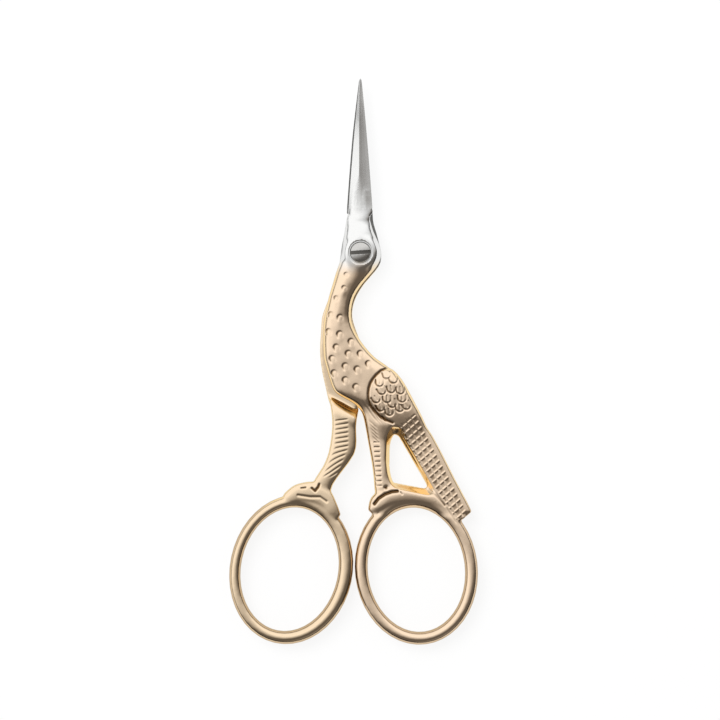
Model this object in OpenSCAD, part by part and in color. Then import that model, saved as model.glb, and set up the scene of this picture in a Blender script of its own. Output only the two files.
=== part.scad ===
// Stork embroidery scissors: two forged halves that cross at a slotted pivot screw.
// The scissors lie closed and flat, blades along +Y, with the pivot axis on Z.
// z = 0 is the flat round the pivot on the back of the rear half, on which they rest.
// The front half carries the wing, the tail, the standing leg and the right finger ring.
// The rear half carries the raised leg and the left finger ring.

/* [Blades] */
// Length of a blade, from the pivot to the tip
blade_length = 27.7; // [24:0.1:34]
// Width of a blade at its heel, beside the notch
blade_width = 4.3; // [3.9:0.1:4.7]
// Width of a blade just behind its rounded tip
tip_width = 0.3; // [0.3:0.05:0.8]
// Thickness of a blade at its heel
blade_thickness = 1.6; // [1.3:0.05:1.9]
// Thickness of a blade at its ridge, at the tip
tip_thickness = 0.55; // [0.4:0.05:0.8]
// Thickness left at the cutting edge, at the tip
edge_thickness = 0.12; // [0.08:0.01:0.2]
// Thickness left at the cutting edge, at the heel
heel_edge_thickness = 0.7; // [0.2:0.05:0.8]
// How much wider the rear blade is on its cutting side, so that the edges cross when closed
edge_overlap = 0.25; // [0.1:0.05:0.4]
// Depth of the notch where the cutting edge starts
notch_depth = 0.5; // [0.3:0.05:0.8]

/* [Pivot] */
// Radius of the round shoulder about the pivot
boss_radius = 3.25; // [3:0.05:3.6]
// Thickness of each half at the pivot
half_thickness = 2; // [1.9:0.05:2.4]
// Clearance between the two flat faces that slide on each other
lap_gap = 0.06; // [0.04:0.01:0.1]
// Diameter of the screw head
head_diameter = 3.4; // [3:0.1:3.6]
// Depth of the counterbore that takes the screw head
counterbore_depth = 0.9; // [0.6:0.05:1.1]
// Clearance round the screw head in its counterbore
head_clearance = 0.15; // [0.05:0.05:0.25]
// Height of the dome on the screw head
head_dome = 0.3; // [0.15:0.05:0.4]
// Diameter of the smooth shoulder of the screw, on which the front half turns
shoulder_diameter = 2.4; // [2.2:0.1:2.6]
// Diameter of the threaded end of the screw, which the rear half holds
thread_diameter = 2; // [1.6:0.1:2.1]
// Running clearance of the front half on the shoulder, and under the screw head
running_clearance = 0.04; // [0.02:0.01:0.08]
// Width of the screwdriver slot
slot_width = 0.6; // [0.4:0.05:0.8]
// Depth of the screwdriver slot, below the top of the dome
slot_depth = 0.55; // [0.3:0.05:0.7]

/* [Stork] */
// Length of the stork, from the pivot to the top of the wire of its rings
stork_length = 39.55; // [38:0.05:43]
// Narrowest width of the neck
neck_width = 4; // [3.5:0.1:4.6]
// Greatest width of the body
body_width = 10.7; // [10:0.1:11.4]
// Thickness of the neck and the body, from the sliding face to the crown
body_thickness = 1.9; // [1.6:0.05:1.9]
// Greatest width of the wing
wing_width = 7.3; // [6.8:0.1:7.6]
// How much the wing stands above the body
wing_rise = 0.2; // [0.1:0.05:0.3]
// Width of the tail beside the opening
tail_width = 4.9; // [4.5:0.1:5.4]
// Thickness of the tail, to each side of the middle plane
tail_thickness = 1.2; // [1:0.05:1.4]
// Depth of the wing and the belly behind the middle plane
wing_depth = 1.6; // [1.3:0.05:1.8]
// Clearance between the wing of the front half and the edge of the rear half
step_gap = 0.12; // [0.08:0.02:0.2]

/* [Legs] */
// Narrowest width of the standing leg, on the front half
front_leg_width = 2.9; // [2.5:0.1:3.3]
// Width of the raised leg at its middle, on the rear half
rear_leg_width = 4.1; // [3.7:0.1:4.5]
// Width of a foot, from the opening of the ring to the leg
foot_width = 3.9; // [3.6:0.1:4.3]
// Thickness of a leg, to each side of the middle plane
leg_thickness = 1.3; // [1.1:0.05:1.5]

/* [Finger rings] */
// Width of a ring, between the centres of its wire
ring_width = 17.5; // [16:0.1:19]
// Height of a ring, between the centres of its wire
ring_height = 21.9; // [20.5:0.1:24]
// Width of the ring wire
wire_width = 2.1; // [1.8:0.05:2.4]
// Thickness of the ring wire
wire_thickness = 2.6; // [2.4:0.05:3]
// Clearance between the two closed rings
ring_gap = 0.16; // [0.1:0.02:0.3]
// Lean of the rear ring, clockwise
rear_ring_lean = 12; // [6:1:16]
// Lean of the front ring, anticlockwise
front_ring_lean = 7; // [2:1:10]
// Share by which the wire of the rear ring swells towards the other ring
rear_ring_swell = 0.13; // [0:0.01:0.2]

/* [Hidden] */
$fn = 48;

// Heights: the back of the rear half is at 0 and the two halves meet at the middle plane
middle = half_thickness + lap_gap / 2;
rear_face = half_thickness;
front_face = half_thickness + lap_gap;
front_top = front_face + half_thickness;
// How far a form goes on past the plane that cuts it off
allowance = 0.3;
reach = 80;

// The stork is drawn in hundredths of its length, from the pivot at [0, 0]
hundredth = stork_length / 100;
plate = 2 * boss_radius;

// The blade grows out of the pivot plate here, and its ground part starts at the heel
blade_start = 1.26 * boss_radius;
heel = 1.65 * boss_radius;
// The taper is measured from here, and the sides bulge a little beyond a straight taper
taper_start = 0.92 * boss_radius;
blade_belly = 0.03 * blade_width;
// Length over which the point is rounded
nose_length = 0.6;
// The ridge bends to the middle where the blade is narrower than its heel by this many times
ridge_bend = 7.2;
notch_radius = 1.15;

// The raised flat round the screw keeps this far inside the pivot plate, and its rim is rounded
plate_border = 0.4;
rim_rounding = 0.6;

// The rings touch, but for their gap, on this line, and their wire tops out at this height
ring_meet = -1.03;
ring_top = -stork_length;

// Angles that space the points across a rounded section, close together at its edges
section_angles = [-90, -75, -55, -30, 0, 30, 55, 75, 90];

// A row between four rows of a list, on a smooth curve through the middle two
function between(a, b, c, d, p) =
    0.5 * (2 * b + (c - a) * p + (2 * a - 5 * b + 4 * c - d) * p * p
    + (3 * b - a - 3 * c + d) * p * p * p);

// The rows of a list with smooth steps put between them
function smooth(rows, steps) =
    let (last = len(rows) - 1)
    [for (k = [0 : steps * last])
        let (i = min(floor(k / steps), last - 1))
        between(rows[max(i - 1, 0)], rows[i], rows[i + 1], rows[min(i + 2, last)], k / steps - i)];

// 0 before the start, 1 past the end and a smooth climb between them
function ramp(from, to, y) =
    let (p = min(max((y - from) / (to - from), 0), 1))
    p * p * (3 - 2 * p);

// A slab between two grids of points, one above the other
module slab(upper, lower) {
    m = len(upper[0]);
    n = len(upper);
    points = [for (row = upper) each row, for (row = lower) each row];
    function up(i, j) = i * m + j;
    function low(i, j) = (n + i) * m + j;
    skin = [for (i = [0 : n - 2], j = [0 : m - 2]) each [
        [up(i, j), up(i, j + 1), up(i + 1, j + 1)],
        [up(i, j), up(i + 1, j + 1), up(i + 1, j)],
        [low(i, j), low(i + 1, j + 1), low(i, j + 1)],
        [low(i, j), low(i + 1, j), low(i + 1, j + 1)]]];
    sides = [for (i = [0 : n - 2]) each [
        [up(i, 0), up(i + 1, 0), low(i + 1, 0)],
        [up(i, 0), low(i + 1, 0), low(i, 0)],
        [up(i, m - 1), low(i + 1, m - 1), up(i + 1, m - 1)],
        [up(i, m - 1), low(i, m - 1), low(i + 1, m - 1)]]];
    ends = [for (j = [0 : m - 2]) each [
        [up(0, j), low(0, j + 1), up(0, j + 1)],
        [up(0, j), low(0, j), low(0, j + 1)],
        [up(n - 1, j), up(n - 1, j + 1), low(n - 1, j + 1)],
        [up(n - 1, j), low(n - 1, j + 1), low(n - 1, j)]]];
    polyhedron(points, concat(skin, sides, ends));
}

// A limb with rounded edges. Each row holds the centre x and y in hundredths of the stork, the
// width, the turn of the cross line, and the heights of the crown above and below the level.
module limb(rows, level, edge_share, steps = 2) {
    stations = smooth(rows, steps);
    // The edge keeps its share of the height and the crown rises from it to the middle
    function crown(angle) = edge_share + (1 - edge_share) * pow(cos(angle), 0.6);
    function spot(row, angle, height) =
        let (across = sin(angle) * row[2] / 2)
        [
            hundredth * row[0] + across * cos(row[3]),
            hundredth * row[1] + across * sin(row[3]),
            level + height];
    slab(
        [for (row = stations) [for (a = section_angles) spot(row, a, row[4] * crown(a))]],
        [for (row = stations) [for (a = section_angles) spot(row, a, -row[5] * crown(a))]]);
}

// Half of the width of a blade at a height above the pivot
function blade_half(y) =
    let (
        s = (y - taper_start) / (blade_length - taper_start),
        nose = max((y - blade_length + nose_length) / nose_length, 0))
    (blade_width / 2 * (1 - s) + tip_width / 2 * s + 4 * blade_belly * s * (1 - s))
    * sqrt(max(1 - nose * nose, 0.05));

function ridge_thickness(y) =
    blade_thickness
    + (tip_thickness - blade_thickness) * (y - blade_start) / (blade_length - blade_start);

// The ridge lies left of the middle and runs out to the spine near the heel
function ridge_place(y) = -blade_width * (0.05 + 0.26 * pow(max(1.26 - 2.5 * y / blade_length, 0), 1.6));

// A hollow ground blade, cutting side to the right, spine to the left, ridge between them
module blade(extra = 0) {
    straight = blade_length - nose_length;
    body = [for (k = [0 : 24]) blade_start + (straight - blade_start) * pow(k / 24, 1.4)];
    tip = [for (share = [0.4, 0.75, 0.95, 1]) straight + nose_length * share];
    function top(y) =
        let (
            half = blade_half(y),
            edge = half + extra * min(half, 1),
            t = ridge_thickness(y),
            ridge = ridge_place(y) * min(ridge_bend * half / blade_width, 1),
            ground = ramp(0.8 * heel, 1.5 * heel, y),
            spine_fall = 0.5 + 0.05 * ramp(0.8 * heel, blade_length / 2, y),
            left = edge_thickness
                + (heel_edge_thickness - edge_thickness) * max(1 - y / blade_length, 0),
            edge_fall = 0.5 + (0.5 - left / t) * ground)
        [
            [-half, y, front_face + t * (1 - spine_fall)],
            [ridge, y, front_face + t],
            [ridge + (edge - ridge) / 3, y, front_face + t * (1 - (0.1 + 0.27 * ground) * edge_fall)],
            [ridge + (edge - ridge) * 2 / 3, y, front_face + t * (1 - (0.35 + 0.36 * ground) * edge_fall)],
            [edge, y, front_face + t * (1 - edge_fall)]];
    rows = [for (y = concat(body, tip)) top(y)];
    slab([for (k = [len(rows) - 1 : -1 : 0]) rows[k]],
        [for (k = [len(rows) - 1 : -1 : 0]) [for (p = rows[k]) [p[0], p[1], front_face - allowance]]]);
}

// The notch that ends the cutting edge
module notch(extra = 0) {
    translate([blade_half(heel) + extra + notch_radius - notch_depth, heel, 0]) hull() {
        cylinder(h = 3 * half_thickness, r = notch_radius);
        translate([0.36 * notch_radius, -1.25 * notch_radius, 0])
            cylinder(h = 3 * half_thickness, r = notch_radius);
    }
}

// The round flat about the screw, rounded off to its rim
module boss() {
    radius = boss_radius - plate_border;
    rotate_extrude() polygon([
        [0, front_face - allowance],
        [radius, front_face - allowance],
        [radius, front_top - rim_rounding],
        [radius - rim_rounding / 6, front_top - 0.56 * rim_rounding],
        [radius - rim_rounding / 2, front_top - 0.22 * rim_rounding],
        [radius - rim_rounding, front_top],
        [0, front_top]]);
}

// Turns a shape of the front half over, so that it lies on the back of the rear half
module turned_over() {
    translate([0, 0, 2 * middle]) rotate([0, 180, 0]) children();
}

// Half of the width and of the height of a ring
ring_half = ring_width / 2;
ring_rise = ring_height / 2;

// How far a leaning ring reaches to its side, wire included, and how far its wire centre drops
function ring_reach(lean, swell) =
    norm([ring_half * cos(lean), ring_rise * sin(lean)]) + (1 + swell) * wire_width / 2;
function ring_drop(lean) = norm([ring_rise * cos(lean), ring_half * sin(lean)]);

// Angles round half of the section of the wire
wire_angles = [0, 28, 58, 90, 122, 152, 180];

// An oval ring of wire that is rounded on both faces and straight between them
module ring(swell) {
    turns = 44;
    straight = (wire_thickness - wire_width) / 2;
    section = concat(
        [for (a = wire_angles) [cos(a) * wire_width / 2, straight + sin(a) * wire_width / 2]],
        [for (a = wire_angles) [-cos(a) * wire_width / 2, -straight - sin(a) * wire_width / 2]]);
    m = len(section);
    points = [for (k = [0 : turns - 1], spot = section)
        let (
            a = 360 * k / turns,
            width = 1 + swell * cos(a),
            square_off = [ring_rise * cos(a), ring_half * sin(a)],
            out = width * spot[0] * square_off / norm(square_off))
        [ring_half * cos(a) + out[0], ring_rise * sin(a) + out[1], spot[1]]];
    function at(k, j) = (k % turns) * m + j % m;
    polyhedron(points, [for (k = [0 : turns - 1], j = [0 : m - 1]) each [
        [at(k, j), at(k, j + 1), at(k + 1, j + 1)],
        [at(k, j), at(k + 1, j + 1), at(k + 1, j)]]]);
}

module front_ring() {
    translate([
        ring_meet + ring_gap / 2 + ring_reach(front_ring_lean, 0),
        ring_top - ring_drop(front_ring_lean),
        middle])
        rotate(front_ring_lean) ring(0);
}

module rear_ring() {
    translate([
        ring_meet - ring_gap / 2 - ring_reach(rear_ring_lean, rear_ring_swell),
        ring_top - ring_drop(rear_ring_lean),
        middle])
        rotate(-rear_ring_lean) ring(rear_ring_swell);
}

// Neck, body and standing leg in one sweep, from the pivot down to the foot
module front_body() {
    b = body_thickness;
    d = wing_depth;
    leg = leg_thickness;
    p = front_top - middle;
    limb([
        [-1.8, 17.5, blade_width * 0.4, 0, blade_thickness * 0.4, d],
        [-1.5, 14.6, blade_width * 0.7, 0, blade_thickness * 0.78, d],
        [-0.8, 11.9, blade_width * 0.92, 0, blade_thickness * 0.98, d],
        [-0.5, 8.1, plate * 0.72, 0, p - 0.1, d],
        [0.1, 4, plate * 0.87, 0, p, d],
        [0.4, 0, plate * 0.97, 0, p, d],
        [-0.4, -3.9, plate * 0.97, 0, p - 0.03, d],
        [-2.3, -7.6, plate * 0.9, 0, b, d],
        [-5.2, -12.6, neck_width * 1.18, 0, b, d],
        [-7.6, -17.7, neck_width * 1.01, 0, b, d],
        [-8.8, -22.8, neck_width, 0, b, d],
        [-9.2, -27.8, neck_width * 1.11, 0, b, d],
        [-8.3, -32.9, body_width * 0.5, 0, b, d],
        [-6.6, -37.9, body_width * 0.62, 0, b, d],
        [-4.3, -42.5, body_width * 0.77, 0, b, d],
        [-0.3, -47.3, body_width * 0.97, 0, b, d],
        [1.5, -52.1, body_width * 1, 0, b, d],
        [2.1, -55.1, body_width * 0.96, 0, b, d],
        [2.8, -56.8, body_width * 0.91, 0, b, d],
        [4.4, -58.7, body_width * 0.79, 0, b, d],
        [6.6, -61.2, body_width * 0.64, 0, b - 0.1, d],
        [7.7, -64.5, front_leg_width * 1.93, 0, b - 0.25, d],
        [8.3, -69.5, front_leg_width * 1.76, 0, (b + leg) / 2, (d + leg) / 2],
        [8.2, -75.3, front_leg_width * 1.45, 0, leg, leg],
        [8, -80.9, front_leg_width * 1.12, 0, leg, leg],
        [8.4, -86, front_leg_width, 0, leg, leg],
        [9, -91, front_leg_width, 0, leg, leg],
        [9.9, -95.1, front_leg_width * 1.17, 0, leg, leg],
        [11.1, -98.6, front_leg_width * 1.31, 5, leg - 0.1, leg - 0.1]],
        middle, 0.42);
}

// The wing, which runs on into the long straight tail
module wing_and_tail() {
    w = body_thickness + lap_gap / 2 + wing_rise;
    t = tail_thickness;
    d = wing_depth - 0.05;
    limb([
        [10.6, -47.3, wing_width * 0.23, 14, w - 0.35, d],
        [10.9, -51.1, wing_width * 0.63, 0, w, d],
        [11.3, -55.9, wing_width * 0.86, 4, w, d],
        [13, -61.4, wing_width * 1, 2, w - 0.1, d],
        [16.4, -66.5, wing_width * 0.9, 5, w - 0.35, d],
        [20.1, -72.1, tail_width * 1.1, 15, t + 0.2, t + 0.1],
        [23.3, -76.4, tail_width * 1.01, 27, t, t],
        [27.4, -83.9, tail_width, 28, t, t],
        [32.4, -93.8, tail_width, 28, t, t],
        [37.3, -103, tail_width, 29, t, t],
        [41.5, -107, tail_width * 0.69, 40, t, t]],
        middle, 0.6);
}

// The foot that joins the standing leg and the tail to the ring
module front_foot() {
    f = leg_thickness + 0.1;
    limb([
        [4.8, -105.2, foot_width * 0.49, 138, f - 0.2, f - 0.2],
        [6.4, -101.4, foot_width * 0.74, 125, f, f],
        [11.1, -98.6, foot_width * 0.87, 110, f, f],
        [16.9, -97.1, foot_width * 1, 96, f, f],
        [23.1, -98, foot_width * 0.79, 92, f, f],
        [29.3, -99.6, foot_width * 0.72, 82, f - 0.05, f - 0.05],
        [34.6, -103.9, foot_width * 0.56, 65, f - 0.2, f - 0.2]],
        middle, 0.55, 3);
}

// The three-sided opening between leg, tail and foot, drawn in hundredths of the stork. It is
// narrow at the middle plane and its walls flare out to both faces.
module opening() {
    rim = [
        [12.8, -70.1], [11.2, -72.4], [10.2, -75.3], [10, -83.4], [10.5, -88], [11.4, -91.4], [12.8, -93.9],
        [14.9, -95], [27, -97.6], [29.4, -97.4], [30, -95.8], [17.2, -72], [15.6, -70.4]];
    waist = [
        [13.5, -73.4], [12.3, -76.4], [11.9, -79.6], [11.8, -86], [12.4, -90], [13.4, -92.3],
        [25.8, -94.6], [26.6, -93.9], [15.2, -74.3]];
    for (side = [-1, 1]) {
        translate([0, 0, middle]) scale([hundredth, hundredth, side]) hull() {
            linear_extrude(tail_thickness / 100) polygon(waist);
            translate([0, 0, tail_thickness]) linear_extrude(half_thickness) polygon(rim);
        }
    }
}

// The space that the front half leaves for the rear half behind the middle plane
module rear_space() {
    translate([0, 0, front_face - reach])
        linear_extrude(reach) polygon([
            [-reach, reach], [reach, reach], [reach, -37 * hundredth], [step_gap, -39 * hundredth],
            [step_gap, -76 * hundredth], [-reach, -76 * hundredth]]);
}

module front_half() {
    difference() {
        union() {
            color("silver") blade();
            color("goldenrod") {
                boss();
                front_body();
                wing_and_tail();
                front_foot();
                front_ring();
            }
        }
        rear_space();
        opening();
        notch();
        translate([0, 0, front_top - counterbore_depth])
            cylinder(h = half_thickness, d = head_diameter + 2 * head_clearance);
        cylinder(h = 2 * front_top, d = shoulder_diameter + 2 * running_clearance);
    }
}

// Neck and body of the rear half, hidden behind the front one but for its left edge
module rear_body() {
    b = body_thickness + lap_gap / 2;
    p = front_top - middle;
    limb([
        [1.8, 17.5, blade_width * 0.4, 0, allowance, blade_thickness * 0.4],
        [1, 14.6, blade_width * 0.74, 0, allowance, blade_thickness * 0.78],
        [-0.1, 11.9, blade_width * 0.99, 0, allowance, blade_thickness * 0.98],
        [0, 8.1, plate * 0.78, 0, allowance, p - 0.1],
        [0.1, 4, plate * 0.9, 0, allowance, p],
        [0.2, 0, plate * 0.99, 0, allowance, p],
        [-0.1, -3.9, plate * 1.01, 0, allowance, p - 0.03],
        [-1.6, -7.6, plate * 0.91, 0, allowance, b],
        [-4.7, -12.6, neck_width * 1.23, 0, allowance, b],
        [-7.1, -17.7, neck_width * 1.07, 0, allowance, b],
        [-8.7, -22.3, neck_width * 1.1, 0, allowance, b],
        [-9.4, -26.5, neck_width * 1.22, 0, allowance, b],
        [-8.8, -31.4, body_width * 0.52, 0, allowance, b],
        [-8.1, -36.4, body_width * 0.6, 0, allowance, b],
        [-8.1, -41.7, body_width * 0.6, 0, allowance, b],
        [-7.7, -48, body_width * 0.57, 0, allowance, b],
        [-7.1, -54.4, body_width * 0.51, 0, allowance, b],
        [-6.7, -59.2, body_width * 0.46, 0, allowance, b - 0.1],
        [-6.6, -62.2, body_width * 0.39, 0, allowance, b - 0.25]],
        middle, 0.42);
}

// The raised leg, which climbs through the middle plane below the belly of the front half
module rear_leg() {
    b = body_thickness;
    leg = leg_thickness;
    limb([
        [-7.2, -57.6, rear_leg_width * 1.34, -28, -0.85, b - 0.1],
        [-6.9, -60.2, rear_leg_width * 1.34, -28, -0.2, b - 0.15],
        [-6.8, -64.1, rear_leg_width * 1.18, -29, leg - 0.05, b - 0.25],
        [-6.6, -68.9, rear_leg_width, -21, leg, leg + 0.1],
        [-6.6, -74.6, rear_leg_width, -14, leg, leg],
        [-7.7, -80.9, rear_leg_width, -3, leg, leg],
        [-11.1, -86.9, rear_leg_width * 0.78, -13, leg, leg],
        [-14.7, -92.2, rear_leg_width * 0.73, -18, leg, leg],
        [-16.4, -97.6, rear_leg_width * 0.76, -15, leg - 0.1, leg - 0.1]],
        middle, 0.5);
}

// The foot that joins the raised leg to the ring
module rear_foot() {
    f = leg_thickness + 0.1;
    limb([
        [-30.8, -99.6, foot_width * 0.49, 95, f - 0.2, f - 0.2],
        [-27.3, -97.9, foot_width * 0.73, 98, f, f],
        [-24, -97.1, foot_width * 0.87, 97, f, f],
        [-18.8, -97.1, foot_width * 1, 92, f, f],
        [-14.3, -99.1, foot_width * 1, 78, f, f],
        [-11.5, -103.2, foot_width * 0.67, 58, f, f],
        [-9.5, -107, foot_width * 0.44, 42, f - 0.2, f - 0.2]],
        middle, 0.55, 3);
}

module rear_half() {
    difference() {
        union() {
            difference() {
                union() {
                    color("silver") turned_over() blade(edge_overlap);
                    color("goldenrod") {
                        turned_over() boss();
                        rear_body();
                    }
                }
                translate([-reach / 2, -reach / 2, rear_face]) cube(reach);
                turned_over() notch(edge_overlap);
            }
            color("goldenrod") {
                rear_leg();
                rear_foot();
                rear_ring();
            }
        }
        translate([0, 0, -half_thickness]) cylinder(h = 3 * half_thickness, d = thread_diameter);
    }
}

// Slotted head with a low dome, smooth shoulder, and an end that is screwed into the rear half
module pivot_screw() {
    head_radius = head_diameter / 2;
    head_base = front_top - counterbore_depth + running_clearance;
    rim = counterbore_depth - running_clearance - head_dome / 2;
    dome_radius = (pow(head_radius, 2) + pow(head_dome, 2)) / (2 * head_dome);
    color("gainsboro") difference() {
        union() {
            cylinder(h = rear_face, d = thread_diameter);
            translate([0, 0, rear_face]) cylinder(h = head_base - rear_face, d = shoulder_diameter);
            translate([0, 0, head_base]) rotate_extrude() {
                square([head_radius, rim]);
                translate([0, rim + head_dome - dome_radius]) intersection() {
                    circle(dome_radius);
                    translate([0, dome_radius - head_dome]) square([head_radius, head_dome]);
                }
            }
        }
        translate([-head_diameter, -slot_width / 2, head_base + rim + head_dome - slot_depth])
            cube([2 * head_diameter, slot_width, 2 * slot_depth]);
    }
}

front_half();
rear_half();
pivot_screw();
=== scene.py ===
"""Stork embroidery scissors with gilt handles and nickel-plated blades, closed, on a white ground."""
import math

import bpy
import numpy as np
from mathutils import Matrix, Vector
from mathutils.bvhtree import BVHTree
from mathutils.kdtree import KDTree


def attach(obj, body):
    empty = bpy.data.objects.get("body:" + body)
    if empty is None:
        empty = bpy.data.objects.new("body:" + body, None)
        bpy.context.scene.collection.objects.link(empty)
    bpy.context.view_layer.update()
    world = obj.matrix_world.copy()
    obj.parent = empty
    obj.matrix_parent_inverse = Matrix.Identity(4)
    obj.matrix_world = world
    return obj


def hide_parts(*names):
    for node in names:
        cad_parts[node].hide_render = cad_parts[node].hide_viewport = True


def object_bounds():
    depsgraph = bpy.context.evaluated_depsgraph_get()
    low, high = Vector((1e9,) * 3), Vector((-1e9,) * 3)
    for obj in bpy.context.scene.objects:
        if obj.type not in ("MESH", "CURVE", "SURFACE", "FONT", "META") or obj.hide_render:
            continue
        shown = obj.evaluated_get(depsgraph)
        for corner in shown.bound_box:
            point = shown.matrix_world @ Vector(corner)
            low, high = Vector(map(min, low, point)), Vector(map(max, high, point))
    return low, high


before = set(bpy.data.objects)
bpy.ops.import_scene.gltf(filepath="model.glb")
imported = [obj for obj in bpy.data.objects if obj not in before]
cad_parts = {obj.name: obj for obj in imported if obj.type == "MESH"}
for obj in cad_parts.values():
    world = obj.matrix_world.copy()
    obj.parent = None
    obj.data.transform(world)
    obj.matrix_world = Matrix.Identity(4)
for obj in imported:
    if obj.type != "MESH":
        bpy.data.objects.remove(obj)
cad_low, cad_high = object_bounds()


# The rear half is one steel forging: blade, pivot plate, neck, raised leg, foot and finger ring.
# It is pressed between dies, its marks are punched, the blade is ground, and it is gilt up to
# the pivot and nickel plated from there to the point. The pivot screw is screwed into it.

def only(piece):
    """Nothing is selected but this piece, and it is the active one."""
    bpy.ops.object.select_all(action="DESELECT")
    piece.hide_viewport = False
    piece.select_set(True)
    bpy.context.view_layer.objects.active = piece


def blank(node, name):
    """A closed copy of one solid, in millimetres, ready for the dies."""
    piece = bpy.data.objects.new(name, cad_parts[node].data.copy())
    bpy.context.collection.objects.link(piece)
    piece.data.materials.clear()
    only(piece)
    piece.scale = (1000, 1000, 1000)
    bpy.ops.object.transform_apply(location=False, rotation=False, scale=True)
    bpy.ops.object.mode_set(mode="EDIT")
    bpy.ops.mesh.select_all(action="SELECT")
    bpy.ops.mesh.remove_doubles(threshold=0.001)
    bpy.ops.object.mode_set(mode="OBJECT")
    return piece


def keep_side(piece, y, above):
    """Cuts the piece across at a height on the drawing and closes the cut."""
    only(piece)
    bpy.ops.object.mode_set(mode="EDIT")
    bpy.ops.mesh.select_all(action="SELECT")
    bpy.ops.mesh.bisect(
        plane_co=(0, y, 0), plane_no=(0, 1, 0), use_fill=True, clear_inner=above, clear_outer=not above
    )
    bpy.ops.object.mode_set(mode="OBJECT")


def apply(piece, kind, **settings):
    """Adds a modifier and applies it."""
    only(piece)
    modifier = piece.modifiers.new(kind, kind)
    for key, value in settings.items():
        setattr(modifier, key, value)
    bpy.ops.object.modifier_apply(modifier=modifier.name)


def pick_faces(piece, picked):
    """Opens a piece for shaping with just these faces selected."""
    only(piece)
    bpy.ops.object.mode_set(mode="EDIT")
    bpy.ops.mesh.select_mode(type="FACE")
    bpy.ops.mesh.select_all(action="DESELECT")
    bpy.ops.object.mode_set(mode="OBJECT")
    piece.data.polygons.foreach_set("select", picked)
    bpy.ops.object.mode_set(mode="EDIT")


def drill(piece, operation, radius, low, high, flare=0.0):
    """Adds or takes away a round plug on the pivot axis, which may flare at its upper end."""
    bpy.ops.object.select_all(action="DESELECT")
    bpy.ops.mesh.primitive_cylinder_add(
        vertices=96, radius=radius, depth=high - low, location=(0, 0, (high + low) / 2)
    )
    tool = bpy.context.object
    if flare:
        pick_faces(tool, [side.normal.z > 0.9 for side in tool.data.polygons])
        wider = (radius + flare) / radius
        bpy.ops.mesh.extrude_region_move(TRANSFORM_OT_translate={"value": (0, 0, flare)})
        bpy.ops.transform.resize(value=(wider, wider, 1))
        bpy.ops.mesh.extrude_region_move(TRANSFORM_OT_translate={"value": (0, 0, 1)})
        bpy.ops.object.mode_set(mode="OBJECT")
    bpy.ops.object.transform_apply(location=True, rotation=False, scale=False)
    apply(piece, "BOOLEAN", object=tool, operation=operation, solver="EXACT")
    bpy.data.objects.remove(tool)


def soften(piece, weights, rounds):
    """Evens out heights only, where the weights say, so that the outline stays as it is."""
    group = piece.vertex_groups.new(name="soften")
    for vertex in np.nonzero(weights > 0.01)[0]:
        group.add([int(vertex)], float(weights[vertex]), "REPLACE")
    apply(
        piece, "SMOOTH", factor=0.5, iterations=rounds, vertex_group="soften",
        use_x=False, use_y=False, use_z=True,
    )
    piece.vertex_groups.clear()


def rows(items, key):
    """One row of three numbers for each corner or face of a mesh."""
    values = np.empty(len(items) * 3)
    items.foreach_get(key, values)
    return values.reshape(-1, 3)


def coordinates(piece):
    """Places and normals of all corners of a mesh."""
    return rows(piece.data.vertices, "co"), rows(piece.data.vertices, "normal")


def move_to(piece, spots):
    """Puts the corners of a mesh where the rows say."""
    piece.data.vertices.foreach_set("co", spots.ravel())
    piece.data.update()


def surface(piece):
    """The surface that a piece has now, to be looked up when it has been worked on."""
    corners = [vertex.co for vertex in piece.data.vertices]
    return BVHTree.FromPolygons(corners, [tuple(part.vertices) for part in piece.data.polygons])


def finer(piece, wanted):
    """Splits the faces whose centre and normal the test picks, so that punch marks stay crisp."""
    sides = piece.data.polygons
    pick_faces(piece, wanted(rows(sides, "center"), rows(sides, "normal")))
    bpy.ops.mesh.subdivide(number_cuts=1)
    bpy.ops.object.mode_set(mode="OBJECT")


# The handle is gilt and punched below this height on the drawing
plating_line = -2.4


def punched_faces(lowest, middle):
    """A test for the broad faces of a handle that take punch marks."""

    def wanted(centre, normal):
        marked = (centre[:, 1] < plating_line) & (centre[:, 1] > lowest)
        return marked & (np.abs(normal[:, 2]) > 0.5) & (np.abs(centre[:, 2] - middle) > 0.5)

    return wanted


def step(low, high, value):
    """0 below low, 1 above high, smooth between them."""
    share = np.clip((value - low) / (high - low), 0, 1)
    return share * share * (3 - 2 * share)


def stroke(x, y, points, width):
    """1 on a line through the points, falling to 0 beside it."""
    nearest = np.full(x.shape, 1e9)
    for (ax, ay), (bx, by) in zip(points[:-1], points[1:]):
        dx, dy = bx - ax, by - ay
        along = np.clip(((x - ax) * dx + (y - ay) * dy) / (dx * dx + dy * dy), 0, 1)
        nearest = np.minimum(nearest, np.hypot(x - ax - along * dx, y - ay - along * dy))
    return np.exp(-((nearest / width) ** 2))


def beside(x, y, mark, lean):
    """How far each place lies down along a leaning punch mark, and how far across it."""
    down_x, down_y = math.sin(lean), -math.cos(lean)
    from_x, from_y = x - mark[0], y - mark[1]
    return from_x * down_x + from_y * down_y, from_x * -down_y + from_y * down_x


# Where the feathers were punched, in millimetres from the pivot
feather_marks = [
    (-2.2, -3.3), (-2.5, -5.4), (-3.8, -7.0), (-4.7, -9.5), (-3.2, -10.0), (-5.1, -12.2),
    (-3.3, -12.6), (-1.5, -13.8), (-3.9, -14.7), (-2.0, -15.7), (-0.1, -15.7), (-4.6, -16.5),
    (1.2, -17.3), (-2.5, -17.7), (-0.6, -18.2), (-4.3, -18.8), (-2.5, -19.9), (-0.8, -21.0),
]


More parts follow.
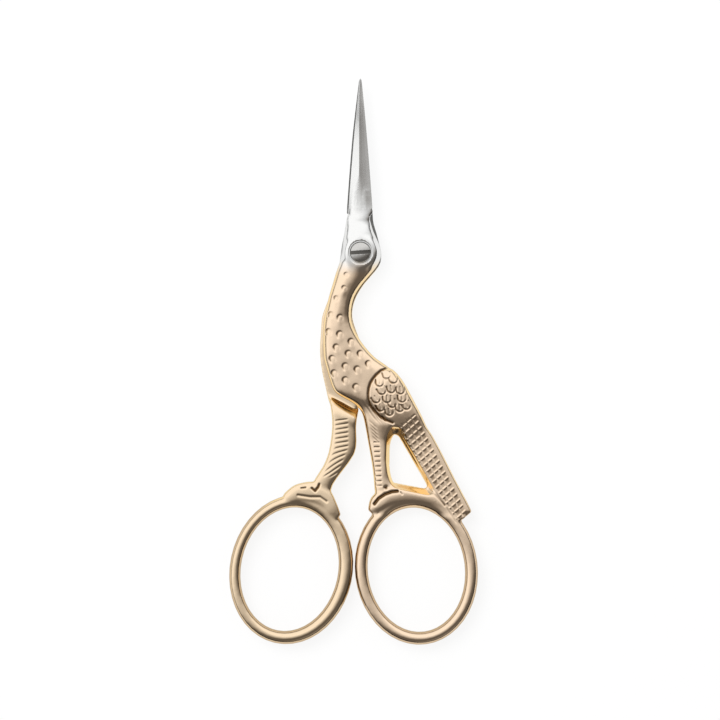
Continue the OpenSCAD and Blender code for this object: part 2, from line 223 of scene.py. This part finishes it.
def feathers(x, y, marks):
    """Depth of the arched punch marks, each with its feather standing up inside the arch."""
    depth = np.zeros(x.shape)
    for mark in marks:
        # they swing from one side to the other and grow, from the neck down to the breast
        lean = math.radians(-12 + 30 * min(max((-mark[1] - 8) / 8, 0), 1))
        size = 0.3 + 0.14 * min(max((-mark[1] - 4) / 9, 0), 1)
        along, across = beside(x, y, mark, lean)
        along = along - size
        ring = np.hypot(across, along * np.where(along > 0, 0.45, 1.0))
        arms = step(1.9, -0.35, along / size)
        left = 0.6 + 0.4 * np.clip(-across / size, -1, 1)
        arch = 0.34 * size * np.exp(-(((ring - size) / 0.14) ** 2)) * arms * left
        swell = 0.04 * np.exp(-((across / 0.4) ** 2) - (((along - 0.5) / 0.75) ** 2))
        dip = 0.04 * np.exp(-((ring / 0.9) ** 2)) * step(-1.8, -0.4, along)
        depth += arch + dip - swell
    return depth


def leg_ribs(x, y):
    """Depth of the ribs across the raised leg."""
    slant = 0.15 + 0.5 * step(-30, -35, y)
    count = (-y + slant * (x + 3)) / 0.72
    valley = (0.5 + 0.5 * np.cos(2 * math.pi * count)) ** 2
    middle_x = -3.0 - 0.55 * np.maximum(-31 - y, 0) * 0.75
    inside = step(1.25, 0.75, np.abs(x - middle_x)) * step(-26.1, -26.7, y) * step(-36.0, -35.2, y)
    return 0.06 * valley * inside


def rear_marks(x, y, z):
    """Depth of the ribs on the raised leg and of the toes cut in its foot, on either face."""
    return (
        leg_ribs(x, y)
        + 0.22 * stroke(x, y, [(-7.7, -37.5), (-7.2, -37.95), (-6.7, -37.3), (-6.55, -36.9)], 0.17)
        + 0.14 * stroke(x, y, [(-9.4, -37.5), (-8.7, -37.4)], 0.14)
        + 0.1 * stroke(x, y, [(-9.9, -38.6), (-8, -38.9), (-6.4, -38.9), (-5.4, -39.6)], 0.2)
    )


def rear_back_marks(x, y, z):
    """Depth of the marks on the back of the rear half, whose neck is feathered too."""
    return rear_marks(x, y, z) + feathers(x, y, [mark for mark in feather_marks if mark[0] < -0.9])


def carve(piece, front, back):
    """Sinks the marks into both faces and keeps their depth, for the shade that gathers in them."""
    spots, normals = coordinates(piece)
    x, y, z = spots.T
    # the marks fade out where a face turns into a wall
    up, down = step(0.45, 0.8, normals[:, 2]), step(0.45, 0.8, -normals[:, 2])
    sunk = np.zeros(len(x))
    for share, marks, sign in ((up, front, -1), (down, back, 1)):
        depth = share * marks(x, y, z)
        spots[:, 2] += sign * depth
        sunk += depth
    move_to(piece, spots)
    shade = piece.data.attributes.new("sunk", "FLOAT", "POINT")
    shade.data.foreach_set("value", sunk)


# The halves lap at this height above the ground
lap = 2.03
# The finger rings hang below this height on the drawing
ring_line = -42.3


def roll_edges(handle, face, width, drop):
    """Lowers the outer face towards its rim, where the dies leave it soft, but not at the screw."""
    spots, normals = coordinates(handle)
    plate_edge, swell_start = 2.3, 3.1
    outer = face * (spots[:, 2] - lap)
    walls = np.nonzero((np.abs(normals[:, 2]) < 0.35) & (outer > 0.2))[0]
    tree = KDTree(len(walls))
    for k in walls:
        tree.insert((spots[k, 0], spots[k, 1], 0), int(k))
    tree.balance()
    turned = (outer > 0) & (spots[:, 1] > ring_line) & (spots[:, 1] < 6)
    turned &= np.hypot(spots[:, 0], spots[:, 1]) > plate_edge
    for k in np.nonzero(turned)[0]:
        gap = tree.find((spots[k, 0], spots[k, 1], 0))[2]
        if gap < width:
            fade = float(step(6, 4, spots[k, 1]) * step(ring_line, ring_line + 1, spots[k, 1]))
            fade *= float(step(plate_edge, swell_start, math.hypot(spots[k, 0], spots[k, 1])))
            spots[k, 2] -= face * drop * fade * (1 - gap / width) ** 2 * min(outer[k] / 1.9, 1)
    move_to(handle, spots)


def ease_heel(piece, exact, face):
    """Lets the ridge of the blade run out softly into the pivot plate, inside a crisp outline."""
    spots, normals = coordinates(piece)
    # each height becomes the mean of the heights in a round patch, smaller near the outline
    ring = [(0.0, 0.0)] + [
        (size * math.cos(turn * math.pi / 6), size * math.sin(turn * math.pi / 6))
        for size in (0.35, 0.7, 1.0) for turn in range(12)
    ]
    top = (face * normals[:, 2] > 0.5) & (face * (spots[:, 2] - lap) > 0.3)
    for k in np.nonzero(top & (spots[:, 1] > 4.8) & (spots[:, 1] < 13.5))[0]:
        x, y, z = spots[k]
        left = exact.ray_cast(Vector((-9, y, lap + face * 0.2)), Vector((1, 0, 0)))[0]
        right = exact.ray_cast(Vector((9, y, lap + face * 0.2)), Vector((-1, 0, 0)))[0]
        if left is None or right is None:
            continue
        reach = min(1.0, max(0.0, min(x - left.x, right.x - x)))
        reach *= 1.5 * float(step(13.5, 8.5, y))
        heights = []
        for across, along in ring:
            start = Vector((x + across * reach, y + along * reach, lap + face * 9))
            hit = exact.ray_cast(start, Vector((0, 0, -face)))[0]
            if hit is not None and face * (hit.z - lap) > 0.3:
                heights.append(hit.z)
        if heights:
            spots[k, 2] += float(step(4.8, 6.2, y)) * (sum(heights) / len(heights) - z)
    move_to(piece, spots)


# Above the seam the blade keeps its ground faces and its crisp outline
seam = 7.0
# Side of the little cubes that the forging is melted from
grain_size = 0.16


def forge_handle(node, name, face, plug_low, plug_high):
    """The handle of one half: all facets melted into smooth forms, its pivot plate made even."""
    handle = blank(node, name)
    exact = surface(handle)
    keep_side(handle, seam + 0.6, False)
    # the screw hole is plugged while the plate is evened out, and drilled again later
    drill(handle, "UNION", 2.0, plug_low, plug_high)
    apply(handle, "REMESH", mode="VOXEL", voxel_size=grain_size)
    apply(handle, "SMOOTH", factor=0.5, iterations=8)
    spots, normals = coordinates(handle)
    y, outer, facing = spots[:, 1], face * (spots[:, 2] - lap) > 0.6, face * normals[:, 2]
    weights = step(-5.5, -3, y) * step(6.6, 5.2, y) * step(0.25, 0.6, facing) * outer
    soften(handle, weights, 70)
    # a broad swell over the whole limb, then a tight rounding of its rim
    roll_edges(handle, face, 2.6, 0.3)
    roll_edges(handle, face, 0.75, 0.3)
    apply(handle, "SMOOTH", factor=0.5, iterations=8)
    # near the seam the handle takes its exact shape again, and it ends where the blade starts
    finer(handle, lambda centre, normal: centre[:, 1] > 5.2)
    spots, normals = coordinates(handle)
    for k in np.nonzero(spots[:, 1] > 5.0)[0]:
        share = float(step(5.0, 6.5, spots[k, 1]))
        nearest = exact.find_nearest(Vector(spots[k]))[0]
        spots[k] += share * (np.array(nearest) - spots[k])
    move_to(handle, spots)
    keep_side(handle, seam, False)
    ease_heel(handle, exact, face)
    spots, normals = coordinates(handle)
    y, outer, facing = spots[:, 1], face * (spots[:, 2] - lap) > 0.5, face * normals[:, 2]
    weights = step(4.0, 4.8, y) * step(seam - 0.02, seam - 0.3, y) * step(0.5, 0.8, facing) * outer
    soften(handle, weights, 120)
    return handle


# The net over the heel of the blade: how many cuts each way, and how far apart they are
net_cuts, net_height, net_width = 26, 0.26, 0.2
# The blade is ground thinner from this height on the drawing up to its point
thinner_from, point = 22.5, cad_high[1] * 1000


def keep_blade(node, name, face):
    """The blade above the seam, scored into a fine net at its heel so that the ridge can fade."""
    blade = blank(node, name)
    exact = surface(blade)
    keep_side(blade, seam, True)
    bpy.ops.object.mode_set(mode="EDIT")
    across = [((0, seam + 0.12 + net_height * k, 0), (0, 1, 0)) for k in range(net_cuts)]
    upright = [((-2.6 + net_width * k, 0, 0), (1, 0.013, 0)) for k in range(net_cuts)]
    for place, direction in across + upright:
        bpy.ops.mesh.select_all(action="SELECT")
        bpy.ops.mesh.bisect(plane_co=place, plane_no=direction)
    bpy.ops.object.mode_set(mode="OBJECT")
    ease_heel(blade, exact, face)
    # seen from the side the two points close up to the width of a needle as well
    spots, normals = coordinates(blade)
    share = np.clip((spots[:, 1] - thinner_from) / (point - thinner_from), 0, 1)
    spots[:, 2] += (lap - spots[:, 2]) * 0.7 * share
    move_to(blade, spots)
    return blade


def to_metres(piece, material):
    """Brings a finished piece to metres and gives it its one material."""
    only(piece)
    piece.scale = (0.001, 0.001, 0.001)
    bpy.ops.object.transform_apply(location=False, rotation=False, scale=True)
    piece.data.materials.clear()
    piece.data.materials.append(material)


# A handle is thinned to this many triangles, which leaves room for the blade under 200,000
most_triangles = 185000


def finish_forging(handle, blade, material):
    """Handle and blade are one forging: they are joined, smoothed and brought to metres."""
    triangles = sum(len(part.vertices) - 2 for part in handle.data.polygons)
    apply(handle, "DECIMATE", ratio=min(1.0, most_triangles / triangles))
    only(blade)
    bpy.ops.object.shade_smooth_by_angle(angle=math.radians(12))
    only(handle)
    bpy.ops.object.shade_smooth_by_angle(angle=math.radians(60))
    blade.select_set(True)
    bpy.ops.object.join()
    to_metres(handle, material)


class Value:
    """A number or colour in a material, so that its maths reads as a formula."""

    def __init__(self, tree, socket):
        self.tree, self.socket = tree, socket

    def node(self, kind, output, settings=(), **inputs):
        """Adds a node and returns one output. Sockets are named, or numbered as i0, i1 and so on."""
        made = self.tree.nodes.new(kind)
        for key, value in dict(settings).items():
            setattr(made, key, value)
        for key, value in inputs.items():
            numbered = key[0] == "i" and key[1:].isdigit()
            socket = made.inputs[int(key[1:]) if numbered else key.replace("_", " ")]
            if isinstance(value, Value):
                self.tree.links.new(value.socket, socket)
            else:
                socket.default_value = value
        return Value(self.tree, made.outputs[output])

    def into(self, shader, name):
        """Feeds a socket of a shader."""
        self.tree.links.new(self.socket, shader.inputs[name])

    def maths(self, operation, *others):
        """One step of arithmetic that starts from this value."""
        return self.node(
            "ShaderNodeMath", 0, {"operation": operation},
            **{f"i{k}": other for k, other in enumerate((self,) + others)},
        )

    def __add__(self, other):
        return self.maths("ADD", other)

    def __sub__(self, other):
        return self.maths("SUBTRACT", other)

    def __mul__(self, other):
        return self.maths("MULTIPLY", other)

    def __rsub__(self, other):
        return self * -1.0 + other

    __radd__, __rmul__ = __add__, __mul__

    def between(self, low, high):
        """0 below low, 1 above high, smooth between them."""
        return self.node(
            "ShaderNodeMapRange", 0, {"interpolation_type": "SMOOTHSTEP"},
            i0=self, i1=low, i2=high, i3=0.0, i4=1.0,
        )

    def mixed(self, first, second):
        """The first colour where this is 0, the second where it is 1."""
        return self.node("ShaderNodeMix", 2, {"data_type": "RGBA"}, i0=self, i6=first, i7=second)


def start_material(name):
    """A material with its nodes on, its node tree and its one shader."""
    material = bpy.data.materials.new(name)
    material.use_nodes = True
    return material, material.node_tree, material.node_tree.nodes["Principled BSDF"]


# Painted light: deep gold on sloping sides is painted reflection, and brown on those of the rings, on
# cut walls and in punched marks is painted shade. Bright nickel with painted dark walls, and ground
# steel painted dark as shade on the inner faces of the blades
gilt_slope_painted_reflection = (1.0, 0.74, 0.33, 1)
ring_slope_painted_shade = (0.46, 0.31, 0.15, 1)
gilt_wall_painted_shade = (0.46, 0.3, 0.12, 1)
punch_mark_painted_shade = (0.16, 0.085, 0.035, 1)
nickel_face = (0.8, 0.8, 0.79, 1)
nickel_wall_painted_shade = (0.34, 0.34, 0.33, 1)
shaded_ground_steel_dark = (0.12, 0.12, 0.115, 1)
shaded_ground_steel_light = (0.3, 0.3, 0.29, 1)


def plated(name, gilt, inner_side):
    """Polished gilt handle that fades into nickel plate at the pivot, with painted shade on its walls,
    ring slopes and punched marks and a painted reflection on its other slopes. The flat inner face of
    the blade, up for the rear half (1) and down for the front one (-1), is ground across and coloured
    dark as painted shade."""
    material, tree, shader = start_material(name)
    place = tree.nodes.new("ShaderNodeTexCoord")
    start = Value(tree, place.outputs["Object"])
    split = start.node("ShaderNodeSeparateXYZ", 0, Vector=start)
    along = Value(tree, split.socket.node.outputs["Y"])
    height = Value(tree, split.socket.node.outputs["Z"])
    facing = start.node("ShaderNodeSeparateXYZ", 2, Vector=Value(tree, place.outputs["Normal"]))
    clouds = start.node("ShaderNodeTexNoise", 0, Vector=start, Scale=420.0, Detail=3.0)
    fine = start.node("ShaderNodeTexNoise", 0, Vector=start, Scale=2600.0, Detail=2.0)
    sunk = start.node("ShaderNodeAttribute", 2, {"attribute_name": "sunk"})
    silver = (along + clouds * 0.0012).between(-0.0032, -0.0004)
    upright = facing.maths("ABSOLUTE")
    # Below the ring line the sloping sides are coloured brown as painted shade
    rings = along.between(-0.0385, -0.0415)
    # Sloping sides take a deeper gold, a painted reflection of the gilt around them
    gold = upright.between(0.3, 0.92).mixed(rings.mixed(gilt_slope_painted_reflection, ring_slope_painted_shade), gilt)
    # Painted shade: steep walls are coloured dark brown, and below the nickel ones dark grey
    off_walls = upright.between(0.15, 0.45)
    gold = off_walls.mixed(gilt_wall_painted_shade, gold)
    # Painted shade: the deeper a punched mark is sunk, the darker brown it is coloured
    shaded_marks = sunk.between(0.03, 0.2)
    gold = shaded_marks.mixed(gold, punch_mark_painted_shade)
    inner = (facing * inner_side).between(0.4, 0.7) * along.between(-0.002, 0.001)
    # only the flat face near the lap is an inner one, not the slopes of the outer face
    inner_height = 0.002 * inner_side
    inner = inner * (height * inner_side).between(inner_height - 0.0008, inner_height - 0.0004)
    drawn_out = start.node(
        "ShaderNodeVectorMath", 0, {"operation": "MULTIPLY"}, i0=start, i1=(60.0, 4000.0, 60.0)
    )
    wheel = start.node("ShaderNodeTexNoise", 0, Vector=drawn_out, Scale=1.0, Detail=2.0)
    # The inner face is coloured dark ground steel: painted shade over the real grain of the wheel
    plate = inner.mixed(nickel_face, wheel.mixed(shaded_ground_steel_dark, shaded_ground_steel_light))
    # Painted shade: the nickel walls are coloured dark grey
    plate = off_walls.mixed(nickel_wall_painted_shade, plate)
    colour = silver.mixed(gold, plate)
    colour.into(shader, "Base Color")
    ground_blade = along.between(0.004, 0.011)
    roughness = clouds * 0.05 + fine * 0.04 + shaded_marks * 0.2 + inner * 0.2
    roughness = roughness + ground_blade * 0.17 + 0.06
    roughness.into(shader, "Roughness")
    shader.inputs["Metallic"].default_value = 1.0
    grain = start.node("ShaderNodeBump", 0, Strength=0.12, Distance=0.00003, Height=fine)
    grain.into(shader, "Normal")
    return material


# The rear half's outer face looks down, and its hole takes the thread of the screw
rear_handle = forge_handle("rear_half", "rear_half_gilt", face=-1, plug_low=0.0, plug_high=1.9)
drill(rear_handle, "DIFFERENCE", radius=1.0, low=-0.5, high=2.5)
rear_blade = keep_blade("rear_half", "rear_half_blade", face=-1)
finer(rear_handle, punched_faces(lowest=-40.2, middle=2))
carve(rear_handle, rear_marks, rear_back_marks)
rear_gilt = plated("gilt and nickel plate, rear half", gilt=(0.84, 0.66, 0.46, 1), inner_side=1)
finish_forging(rear_handle, rear_blade, rear_gilt)
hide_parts("rear_half")
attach(rear_handle, "rear")


# The pivot screw is turned from steel, with a low domed and slotted head, nickel plated and
# polished. It passes through the front half and is screwed into the rear one, with which it stays.

nickel, tree, shader = start_material("nickel plate, screw")
shader.inputs["Metallic"].default_value = 1.0
place = Value(tree, tree.nodes.new("ShaderNodeTexCoord").outputs["Object"])
height = place.node("ShaderNodeSeparateXYZ", 2, Vector=place)
# painted shade: the slot and the rim of the head, down in the counterbore, are coloured dark, and the
# dome lighter
slot_and_rim_shade = height.between(0.00372, 0.00386).mixed((0.13, 0.125, 0.115, 1), (0.56, 0.55, 0.53, 1))
slot_and_rim_shade.into(shader, "Base Color")
scuffs = place.node("ShaderNodeTexNoise", 0, Vector=place, Scale=900.0, Detail=4.0)
(scuffs * 0.18 + 0.1).into(shader, "Roughness")
# Radius and level of the screw: its end, its thread, its shank, the rim of the head, the dome
last_radius, last_level = 0.96, 0.0
shank = [(0.99, 0.06), (0.99, 2.0), (1.18, 2.0), (1.18, 3.21), (1.64, 3.21), (1.69, 3.26), (1.69, 3.72)]
dome = [(1.66, 3.8), (1.58, 3.88), (1.44, 3.96), (1.2, 4.045), (0.85, 4.12), (0.45, 4.17), (0.02, 4.185)]
bpy.ops.object.select_all(action="DESELECT")
bpy.ops.mesh.primitive_circle_add(
    vertices=96, radius=last_radius, location=(0, 0, last_level), fill_type="NGON"
)
screw = bpy.context.object
screw.name = "slotted_screw"
bpy.ops.object.mode_set(mode="EDIT")
for radius, level in shank + dome:
    bpy.ops.mesh.extrude_region_move(TRANSFORM_OT_translate={"value": (0, 0, level - last_level)})
    bpy.ops.transform.resize(value=(radius / last_radius, radius / last_radius, 1))
    last_radius, last_level = radius, level
bpy.ops.mesh.select_all(action="SELECT")
bpy.ops.mesh.normals_make_consistent(inside=False)
bpy.ops.object.mode_set(mode="OBJECT")
# The slot is milled right across the head, almost square to the blades
slot_width, slot_middle, slot_height, slot_turn = 0.6, 4.05, 0.86, 3
bpy.ops.object.select_all(action="DESELECT")
bpy.ops.mesh.primitive_cube_add(size=1, location=(0, 0, slot_middle))
cutter = bpy.context.object
cutter.scale = (5, slot_width, slot_height)
cutter.rotation_euler = (0, 0, math.radians(slot_turn))
bpy.ops.object.transform_apply(location=True, rotation=True, scale=True)
apply(screw, "BOOLEAN", object=cutter, operation="DIFFERENCE", solver="EXACT")
bpy.data.objects.remove(cutter)
apply(screw, "BEVEL", width=0.05, segments=3, limit_method="ANGLE", angle_limit=math.radians(50))
only(screw)
bpy.ops.object.shade_smooth_by_angle(angle=math.radians(40))
to_metres(screw, nickel)
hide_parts("pivot_screw")
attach(screw, "rear")


# The front half is the second forging and lies over the first: blade, neck, body, wing, tail,
# standing leg, foot and finger ring, plated as the rear half is. Feathers, scales and squares
# are punched in its face, and a counterbore takes the head of the screw.

# Corner and direction of the tail, and the spacing of its squares along and across it
tail_start = (9.0, -24.5)
tail_down = (0.466, -0.885)
square_length, square_width = 1.0, 0.93


def tail_squares(x, y):
    """Depth of the sunk squares of the tail, with thin ridges left standing between them."""
    across = (x - tail_start[0]) * -tail_down[1] + (y - tail_start[1]) * tail_down[0]
    along = (x - tail_start[0]) * tail_down[0] + (y - tail_start[1]) * tail_down[1] + 0.24 * across
    row, column = along / square_length, (across + 0.75) / square_width
    # no two squares are struck equally deep
    cell = np.sin(np.floor(row) * 12.9 + np.floor(column) * 78.2) * 43758.5
    cell = cell - np.floor(cell)
    to_line = np.minimum(
        np.abs(row - np.round(row)) * square_length, np.abs(column - np.round(column)) * square_width
    )
    pit = (0.07 + 0.05 * cell) * step(0.04, 0.26, to_line)
    rim = np.interp(along, [-1, 1.0, 11.5, 14, 20.5], [-5.2, -4.1, -3.6, -3.2, -2.6])
    inside = step(0.05, -0.1, across + 0.75) * step(-0.05, 0.1, across - rim)
    inside = inside * step(0.6, 0.8, along) * step(19.3, 19.1, along)
    border = np.exp(-(((across - rim + 0.35) / 0.1) ** 2)) * step(1.6, 2.2, along) * step(19, 18, along)
    return pit * inside + 0.06 * border


# The cut round the wing, from its shoulder down, and the lower end of each of its scales
wing_edge = [
    (4.3, -18.35), (3.3, -18.8), (2.5, -19.5), (1.95, -20.2), (1.6, -20.8), (1.35, -21.6), (1.25, -22.5),
    (1.3, -23.4), (1.6, -24.3), (2.2, -25.2), (3.0, -26.0), (4.0, -26.65), (5.1, -27.1),
]
scale_ends = [
    (4.4, -20.1), (5.6, -20.8), (3.1, -21.4), (3.75, -22.6), (5.1, -22.4), (6.5, -22.6), (2.9, -23.9),
    (4.3, -24.0), (3.5, -25.25), (5.35, -24.7), (6.7, -23.9), (7.7, -24.95), (6.4, -25.4), (4.8, -26.0),
]
scale_radius = 0.66


def wing_cuts(x, y):
    """Depth of the outline of the wing, its raised rim and its rows of scales."""
    depth = 0.2 * stroke(x, y, wing_edge, 0.19)
    depth -= 0.1 * stroke(x, y, [(px + 0.5, py - 0.12) for px, py in wing_edge[1:9]], 0.26)
    for k, end in enumerate(scale_ends):
        along, across = beside(x, y, end, 0.3 + 0.25 * math.sin(2.4 * k))
        along = along + 0.72
        radius = np.where(along > 0, np.hypot(along, across), np.abs(across))
        span = step(-0.75, -0.45, along)
        left = 0.65 + 0.35 * np.clip(-across / scale_radius, -1, 1)
        arch = np.exp(-(((radius - scale_radius) / 0.13) ** 2))
        depth = np.maximum(depth, 0.17 * arch * span * left)
        quill = np.exp(-((across / 0.1) ** 2)) * step(0.45, 0.25, radius)
        depth = np.maximum(depth, 0.06 * quill * span)
    return depth


def front_leg_cuts(x, y):
    """Depth of the strands over the thigh and of the ticks down the standing leg."""
    depth = np.zeros(x.shape)
    for shift in (0.0, 0.55, 1.05, 1.5):
        strand = [(0.2 + shift, -23.3), (0.9 + shift, -24.5), (1.9 + shift, -25.9)]
        strand += [(3.1 + shift * 0.8, -27.5)]
        ends = step(-23.3, -24.6, y) * step(-27.5, -26.2, y)
        depth = np.maximum(depth, 0.1 * stroke(x, y, strand, 0.17) * ends)
    for k in range(5):
        start_x, start_y = 1.15 + 0.12 * k, -26.5 - 0.62 * k
        ends = step(start_x, start_x + 0.7, x) * step(start_x + 1.7, start_x + 1.0, x)
        line = stroke(x, y, [(start_x, start_y), (start_x + 1.7, start_y - 1.7)], 0.16)
        depth = np.maximum(depth, 0.07 * line * ends)
    count = (-y - 30.2) / 0.77
    tick = np.exp(-(((count - np.round(count)) * 0.77 / 0.13) ** 2))
    middle_x = 2.55 + 0.06 * (-30 - y)
    tick *= step(0.55, 0.35, np.abs(x - middle_x)) * step(-29.8, -30.1, y) * step(-37.4, -37.0, y)
    return np.maximum(depth, 0.08 * tick)


def front_foot_cuts(x, y):
    """Depth of the ankle pit and of the toes cut in the foot of the standing leg."""
    upper_toe = [(2.2, -40.0), (2.9, -39.1), (3.9, -38.45), (5.0, -38.05), (5.9, -37.95)]
    return (
        0.22 * np.exp(-(((x - 4.05) ** 2 + (y + 37.4) ** 2) / 0.3**2))
        + 0.28 * stroke(x, y, upper_toe, 0.24)
        + 0.12 * stroke(x, y, [(6.4, -38.15), (6.6, -38.4)], 0.14)
        + 0.1 * stroke(x, y, [(10.9, -37.6), (12.2, -38.9), (13.4, -40.2)], 0.18)
    )


def body_cuts(x, y):
    """Depth of all marks from the wing down, which both faces carry."""
    return tail_squares(x, y) + wing_cuts(x, y) + front_leg_cuts(x, y) + front_foot_cuts(x, y)


def front_marks(x, y, z):
    """Depth of the marks on the face that shows, feathers and all."""
    return body_cuts(x, y) + feathers(x, y, feather_marks)


def back_marks(x, y, z):
    """Depth of the marks on the back, where it isn't hidden against the rear half."""
    return step(1.9, 1.6, z) * body_cuts(x, y)


# The front half's outer face looks up: the hole for the shank, then the counterbore for the head
front_handle = forge_handle("front_half", "front_half_gilt", face=1, plug_low=2.16, plug_high=4.06)
drill(front_handle, "DIFFERENCE", radius=1.24, low=1.5, high=3.5)
drill(front_handle, "DIFFERENCE", radius=1.87, low=3.16, high=3.97, flare=0.1)
front_blade = keep_blade("front_half", "front_half_blade", face=1)
finer(front_handle, punched_faces(lowest=-43, middle=2.1))
carve(front_handle, front_marks, back_marks)
front_gilt = plated("gilt and nickel plate, front half", gilt=(0.86, 0.67, 0.49, 1), inner_side=-1)
finish_forging(front_handle, front_blade, front_gilt)
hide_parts("front_half")
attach(front_handle, "front")


# The scissors lie on a white ground under one soft lamp. Only the metal sees the light tent, a
# cloth dome that is bright at the back left and dim at the front and low down, so that polished
# edges show a light and a dark line. The camera looks straight down, as in the photograph.

ground_level, tent_radius = -0.0006, 3.0
bpy.ops.mesh.primitive_plane_add(size=2.0, location=(0, 0, ground_level))
ground = bpy.context.object
ground.name = "ground"
paper, tree, shader = start_material("white ground")
shader.inputs["Base Color"].default_value = (0.93, 0.93, 0.93, 1)
shader.inputs["Roughness"].default_value = 0.9
path = tree.nodes.new("ShaderNodeLightPath").outputs
rays = Value(tree, path["Is Camera Ray"]) + Value(tree, path["Is Glossy Ray"])
rays = rays + Value(tree, path["Is Transmission Ray"])
plain_white = rays.node("ShaderNodeEmission", 0, Color=(1, 1, 1, 1), Strength=1.0)
paper_mix = rays.node(
    "ShaderNodeMixShader", 0, i0=rays.maths("MINIMUM", 1.0) * 0.85,
    i1=Value(tree, shader.outputs[0]), i2=plain_white,
)
paper_mix.into(tree.nodes["Material Output"], "Surface")
ground.data.materials.append(paper)

bpy.ops.mesh.primitive_uv_sphere_add(segments=64, ring_count=32, radius=tent_radius)
tent = bpy.context.object
tent.name = "light tent"
tent.visible_camera = tent.visible_diffuse = tent.visible_shadow = tent.visible_transmission = False
cloth, tree, shader = start_material("light tent")
tree.nodes.remove(shader)
place = Value(tree, tree.nodes.new("ShaderNodeTexCoord").outputs["Object"])
split = place.node("ShaderNodeSeparateXYZ", 0, Vector=place).socket.node.outputs
right, back, up = (Value(tree, split[k]) * (1 / tent_radius) for k in range(3))
towards_light = back * 0.9 - right * 0.42
wall = (up + towards_light * 0.1).between(0.04, 0.5)
glow = towards_light.between(-0.42, 0.05) * 0.62 + towards_light.between(-0.04, 0.3) * 0.44 + 0.14
# a little light comes back from the very front
glow = glow + towards_light.between(-0.72, -0.96) * 0.3
shade = towards_light.between(-0.4, 0.0).mixed((1, 0.93, 0.86, 1), (1, 1, 1, 1))
lit_cloth = shade.node("ShaderNodeEmission", 0, Color=shade, Strength=glow * (wall * 0.8 + 0.2))
lit_cloth.into(tree.nodes["Material Output"], "Surface")
tent.data.materials.append(cloth)

lamp_place, middle_of_scissors = Vector((-0.25, 0.2, 0.6)), Vector((0, -0.017, 0))
bpy.ops.object.light_add(type="AREA", location=lamp_place)
lamp = bpy.context.object
lamp.data.size = 0.4
lamp.data.energy = 3
lamp.visible_glossy = False
lamp.rotation_euler = (lamp_place - middle_of_scissors).to_track_quat("Z", "Y").to_euler()

world = bpy.data.worlds.new("white sky")
bpy.context.scene.world = world
world.use_nodes = True
tree = world.node_tree
sky = tree.nodes["Background"]
sky.inputs["Color"].default_value = (1, 1, 1, 1)
path = tree.nodes.new("ShaderNodeLightPath").outputs
rays = Value(tree, path["Is Camera Ray"]) + Value(tree, path["Is Glossy Ray"])
(rays.maths("MINIMUM", 1.0) * 0.35 + 0.65).into(sky, "Strength")

# The camera stands over the middle of the picture, which is as wide as the last value says
view_x, view_y, distance, width = -0.00008, -0.0171, 0.75, 0.1146
bpy.ops.object.camera_add(location=(view_x, view_y, distance), rotation=(0, 0, 0))
camera = bpy.context.object
camera.data.lens = camera.data.sensor_width * (distance - 0.002) / width
camera.data.clip_start = 0.01
bpy.context.scene.camera = camera
bpy.context.scene.view_settings.view_transform = "Standard"
